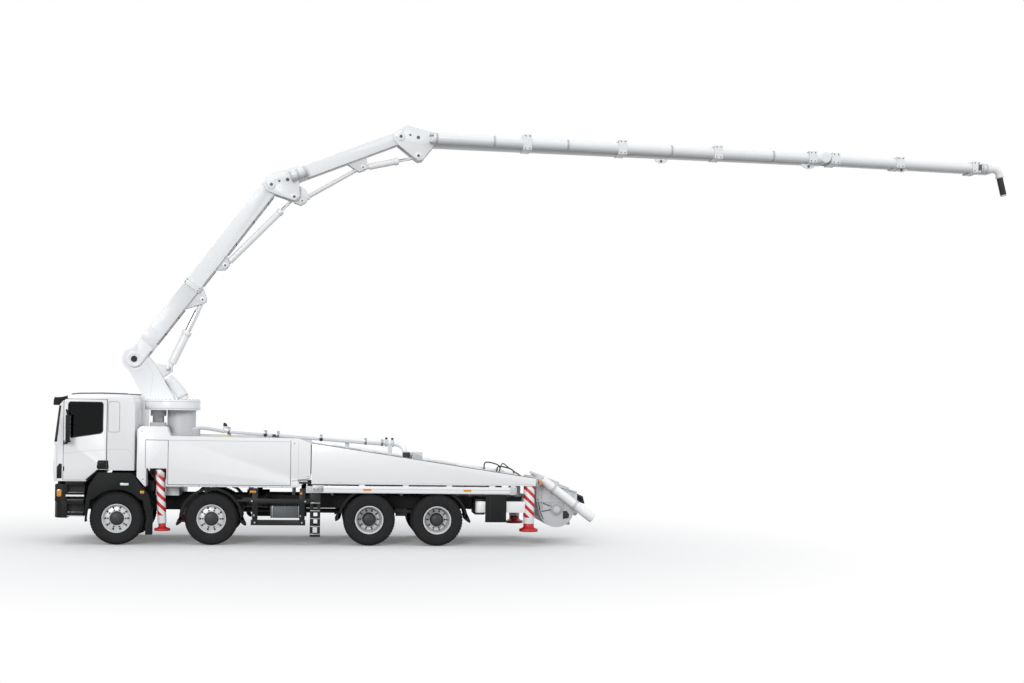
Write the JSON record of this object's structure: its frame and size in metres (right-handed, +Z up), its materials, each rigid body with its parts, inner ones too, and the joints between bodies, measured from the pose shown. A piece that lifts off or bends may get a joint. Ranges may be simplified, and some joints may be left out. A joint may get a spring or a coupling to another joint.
{
  "type": "truck-mounted concrete pump",
  "caption": "Forward-control truck carrying a slewing, folding concrete boom with its delivery pipe, outrigger legs, a tapered rear body and a rear hopper with lifting grate.",
  "frame": {"origin": "on the ground under the middle of the bounding box", "axes": "+X towards the rear of the vehicle, +Y towards its right-hand side, +Z up"},
  "size_m": [20.5828, 2.76, 8.8998],
  "materials": {
    "white_paint": "gloss",
    "boom_paint": "gloss",
    "leg_paint": "gloss",
    "red_paint": "gloss",
    "grey_paint": "satin",
    "black_paint": "satin",
    "cast_iron": "matte",
    "tyre_rubber": "matte",
    "black_plastic": "matte",
    "cab_trim": "matte",
    "windscreen_glass": "gloss",
    "hose_rubber": "matte",
    "cylinder_paint": "gloss",
    "chrome_rod": "polished"
  },
  "bodies": {
    "chassis": {"chassis_frame": "black_paint", "engine_block": "cast_iron", "front_axle_1": "cast_iron", "front_axle_2": "cast_iron", "rear_bogie": "cast_iron", "cab_shell": "white_paint", "windscreen": "windscreen_glass", "front_panel": "white_paint", "cab_interior": "cab_trim", "bumper": "black_plastic", "cab_mudguards": "black_plastic", "superstructure": "grey_paint", "side_box_left": "white_paint", "side_box_right": "white_paint", "rear_panel_left": "white_paint", "rear_panel_right": "white_paint", "side_frame_left": "black_plastic", "side_frame_right": "black_plastic", "rear_mudguards": "black_plastic", "hopper": "grey_paint", "pump_unit": "grey_paint"},
    "door_left": {"door_left": "white_paint"},
    "door_right": {"door_right": "white_paint"},
    "knuckle_1_left": {"knuckle_1_left": "cast_iron"},
    "wheel_1_left": {"wheel_1_left": "tyre_rubber"},
    "knuckle_1_right": {"knuckle_1_right": "cast_iron"},
    "wheel_1_right": {"wheel_1_right": "tyre_rubber"},
    "knuckle_2_left": {"knuckle_2_left": "cast_iron"},
    "wheel_2_left": {"wheel_2_left": "tyre_rubber"},
    "knuckle_2_right": {"knuckle_2_right": "cast_iron"},
    "wheel_2_right": {"wheel_2_right": "tyre_rubber"},
    "wheel_3_left": {"wheel_3_left": "tyre_rubber"},
    "wheel_3_right": {"wheel_3_right": "tyre_rubber"},
    "wheel_4_left": {"wheel_4_left": "tyre_rubber"},
    "wheel_4_right": {"wheel_4_right": "tyre_rubber"},
    "front_beam_left": {"front_beam_left": "leg_paint"},
    "front_leg_left": {"front_leg_left": "red_paint"},
    "rear_arm_left": {"rear_arm_left": "leg_paint"},
    "rear_leg_left": {"rear_leg_left": "red_paint"},
    "front_beam_right": {"front_beam_right": "leg_paint"},
    "front_leg_right": {"front_leg_right": "red_paint"},
    "rear_arm_right": {"rear_arm_right": "leg_paint"},
    "rear_leg_right": {"rear_leg_right": "red_paint"},
    "hopper_grate": {"hopper_grate": "grey_paint"},
    "agitator": {"agitator": "cast_iron"},
    "turret": {"turret": "white_paint"},
    "arm_1": {"arm_1": "white_paint"},
    "arm_2": {"arm_2": "white_paint"},
    "arm_3": {"arm_3": "boom_paint"},
    "arm_4": {"arm_4": "boom_paint", "end_hose": "hose_rubber"},
    "lift_cylinder_barrel": {"lift_cylinder_barrel": "cylinder_paint"},
    "lift_cylinder_rod": {"lift_cylinder_rod": "chrome_rod"},
    "arm_2_cylinder_barrel": {"arm_2_cylinder_barrel": "cylinder_paint"},
    "arm_2_cylinder_rod": {"arm_2_cylinder_rod": "chrome_rod"},
    "arm_3_cylinder_barrel": {"arm_3_cylinder_barrel": "cylinder_paint"},
    "arm_3_cylinder_rod": {"arm_3_cylinder_rod": "chrome_rod"}
  },
  "joints": [
    {"name": "door_left_hinge", "type": "hinge", "parent": "chassis", "child": "door_left", "pos_m": [-10.09039, -1.175, 2.1], "axis": [0, 0, -1], "range_deg": [0, 70]},
    {"name": "door_right_hinge", "type": "hinge", "parent": "chassis", "child": "door_right", "pos_m": [-10.09039, 1.175, 2.1], "axis": [0, 0, 1], "range_deg": [0, 70]},
    {"name": "steer_1_left", "type": "hinge", "parent": "chassis", "child": "knuckle_1_left", "pos_m": [-9.0364, -0.8, 0.535], "axis": [0, 0, 1], "range_deg": [-30, 30]},
    {"name": "wheel_1_left_spin", "type": "hinge", "parent": "knuckle_1_left", "child": "wheel_1_left", "pos_m": [-9.0364, -1.04, 0.535], "axis": [0, 1, 0], "continuous": true},
    {"name": "steer_1_right", "type": "hinge", "parent": "chassis", "child": "knuckle_1_right", "pos_m": [-9.0364, 0.8, 0.535], "axis": [0, 0, 1], "range_deg": [-30, 30]},
    {"name": "wheel_1_right_spin", "type": "hinge", "parent": "knuckle_1_right", "child": "wheel_1_right", "pos_m": [-9.0364, 1.04, 0.535], "axis": [0, 1, 0], "continuous": true},
    {"name": "steer_2_left", "type": "hinge", "parent": "chassis", "child": "knuckle_2_left", "pos_m": [-7.16639, -0.8, 0.535], "axis": [0, 0, 1], "range_deg": [-18, 18]},
    {"name": "wheel_2_left_spin", "type": "hinge", "parent": "knuckle_2_left", "child": "wheel_2_left", "pos_m": [-7.16639, -1.04, 0.535], "axis": [0, 1, 0], "continuous": true},
    {"name": "steer_2_right", "type": "hinge", "parent": "chassis", "child": "knuckle_2_right", "pos_m": [-7.16639, 0.8, 0.535], "axis": [0, 0, 1], "range_deg": [-18, 18]},
    {"name": "wheel_2_right_spin", "type": "hinge", "parent": "knuckle_2_right", "child": "wheel_2_right", "pos_m": [-7.16639, 1.04, 0.535], "axis": [0, 1, 0], "continuous": true},
    {"name": "wheel_3_left_spin", "type": "hinge", "parent": "chassis", "child": "wheel_3_left", "pos_m": [-3.9764, -0.925, 0.535], "axis": [0, 1, 0], "continuous": true},
    {"name": "wheel_3_right_spin", "type": "hinge", "parent": "chassis", "child": "wheel_3_right", "pos_m": [-3.9764, 0.925, 0.535], "axis": [0, 1, 0], "continuous": true},
    {"name": "wheel_4_left_spin", "type": "hinge", "parent": "chassis", "child": "wheel_4_left", "pos_m": [-2.5764, -0.925, 0.535], "axis": [0, 1, 0], "continuous": true},
    {"name": "wheel_4_right_spin", "type": "hinge", "parent": "chassis", "child": "wheel_4_right", "pos_m": [-2.5764, 0.925, 0.535], "axis": [0, 1, 0], "continuous": true},
    {"name": "front_beam_left_slide", "type": "slide", "parent": "chassis", "child": "front_beam_left", "axis": [0, -1, 0], "range_m": [0, 1.3]},
    {"name": "front_leg_left_slide", "type": "slide", "parent": "front_beam_left", "child": "front_leg_left", "axis": [0.0523, 0, -0.9986], "range_m": [0, 0.28]},
    {"name": "rear_arm_left_swing", "type": "hinge", "parent": "chassis", "child": "rear_arm_left", "pos_m": [-1.6864, -1.09, 0.815], "axis": [0, 0, -1], "range_deg": [0, 90]},
    {"name": "rear_leg_left_slide", "type": "slide", "parent": "rear_arm_left", "child": "rear_leg_left", "axis": [0, 0, -1], "range_m": [0, 0.3]},
    {"name": "front_beam_right_slide", "type": "slide", "parent": "chassis", "child": "front_beam_right", "axis": [0, 1, 0], "range_m": [0, 1.3]},
    {"name": "front_leg_right_slide", "type": "slide", "parent": "front_beam_right", "child": "front_leg_right", "axis": [0.0523, 0, -0.9986], "range_m": [0, 0.28]},
    {"name": "rear_arm_right_swing", "type": "hinge", "parent": "chassis", "child": "rear_arm_right", "pos_m": [-1.6864, 1.09, 0.815], "axis": [0, 0, 1], "range_deg": [0, 90]},
    {"name": "rear_leg_right_slide", "type": "slide", "parent": "rear_arm_right", "child": "rear_leg_right", "axis": [0, 0, -1], "range_m": [0, 0.3]},
    {"name": "hopper_grate_hinge", "type": "hinge", "parent": "chassis", "child": "hopper_grate", "pos_m": [-0.44439, 0, 1.41746], "axis": [0, -1, 0], "range_deg": [0, 75]},
    {"name": "agitator_spin", "type": "hinge", "parent": "chassis", "child": "agitator", "pos_m": [-0.00639, 0, 0.745], "axis": [0, 1, 0], "continuous": true},
    {"name": "turret_slew", "type": "hinge", "parent": "chassis", "child": "turret", "pos_m": [-8.08639, 0, 2.8365], "axis": [0, 0, 1], "range_deg": [-180, 180]},
    {"name": "arm_1_lift", "type": "hinge", "parent": "turret", "child": "arm_1", "pos_m": [-8.86839, 0, 3.78], "axis": [0, -1, 0], "range_deg": [-22, 31]},
    {"name": "arm_2_fold", "type": "hinge", "parent": "arm_1", "child": "arm_2", "pos_m": [-6.11078, 0, 7.52034], "axis": [0, 1, 0], "range_deg": [-31, 28]},
    {"name": "arm_3_fold", "type": "hinge", "parent": "arm_2", "child": "arm_3", "pos_m": [-3.39931, 0, 8.64902], "axis": [0, 1, 0], "range_deg": [-22, 35]},
    {"name": "arm_4_fold", "type": "hinge", "parent": "arm_3", "child": "arm_4", "pos_m": [5.99018, 0, 8.55069], "axis": [0, -1, 0], "range_deg": [-90, 0]},
    {"name": "lift_cylinder_swing", "type": "hinge", "parent": "turret", "child": "lift_cylinder_barrel", "pos_m": [-8.17639, 0, 3.59], "axis": [0, -1, 0], "range_deg": [-23.21, 32.5]},
    {"name": "lift_cylinder_extend", "type": "slide", "parent": "lift_cylinder_barrel", "child": "lift_cylinder_rod", "axis": [0.4184, 0, 0.9083], "range_m": [-0.261, 0.365]},
    {"name": "arm_2_cylinder_swing", "type": "hinge", "parent": "arm_1", "child": "arm_2_cylinder_barrel", "pos_m": [-7.05045, 0, 5.79418], "axis": [0, -1, 0], "range_deg": [-2.79, 3.04]},
    {"name": "arm_2_cylinder_extend", "type": "slide", "parent": "arm_2_cylinder_barrel", "child": "arm_2_cylinder_rod", "axis": [0.6909, 0, 0.7229], "range_m": [-0.253, 0.28]},
    {"name": "arm_3_cylinder_swing", "type": "hinge", "parent": "arm_2", "child": "arm_3_cylinder_barrel", "pos_m": [-4.19108, 0, 7.97498], "axis": [0, -1, 0], "range_deg": [-7.64, 4.99]},
    {"name": "arm_3_cylinder_extend", "type": "slide", "parent": "arm_3_cylinder_barrel", "child": "arm_3_cylinder_rod", "axis": [0.9735, 0, 0.2285], "range_m": [-0.307, 0.195]}
  ],
  "couplings": [
    {"joint": "steer_1_right", "follows": "steer_1_left", "ratio": 1},
    {"joint": "steer_2_left", "follows": "steer_1_left", "ratio": 0.6},
    {"joint": "steer_2_right", "follows": "steer_1_left", "ratio": 0.6},
    {"joint": "lift_cylinder_swing", "follows": "arm_1_lift", "ratio": 1.0324},
    {"joint": "lift_cylinder_extend", "follows": "arm_1_lift", "m_per_rad": 0.6662},
    {"joint": "arm_2_cylinder_swing", "follows": "arm_2_fold", "ratio": -0.0818},
    {"joint": "arm_2_cylinder_extend", "follows": "arm_2_fold", "m_per_rad": -0.5077},
    {"joint": "arm_3_cylinder_swing", "follows": "arm_3_fold", "ratio": -0.2039},
    {"joint": "arm_3_cylinder_extend", "follows": "arm_3_fold", "m_per_rad": -0.4938}
  ]
}
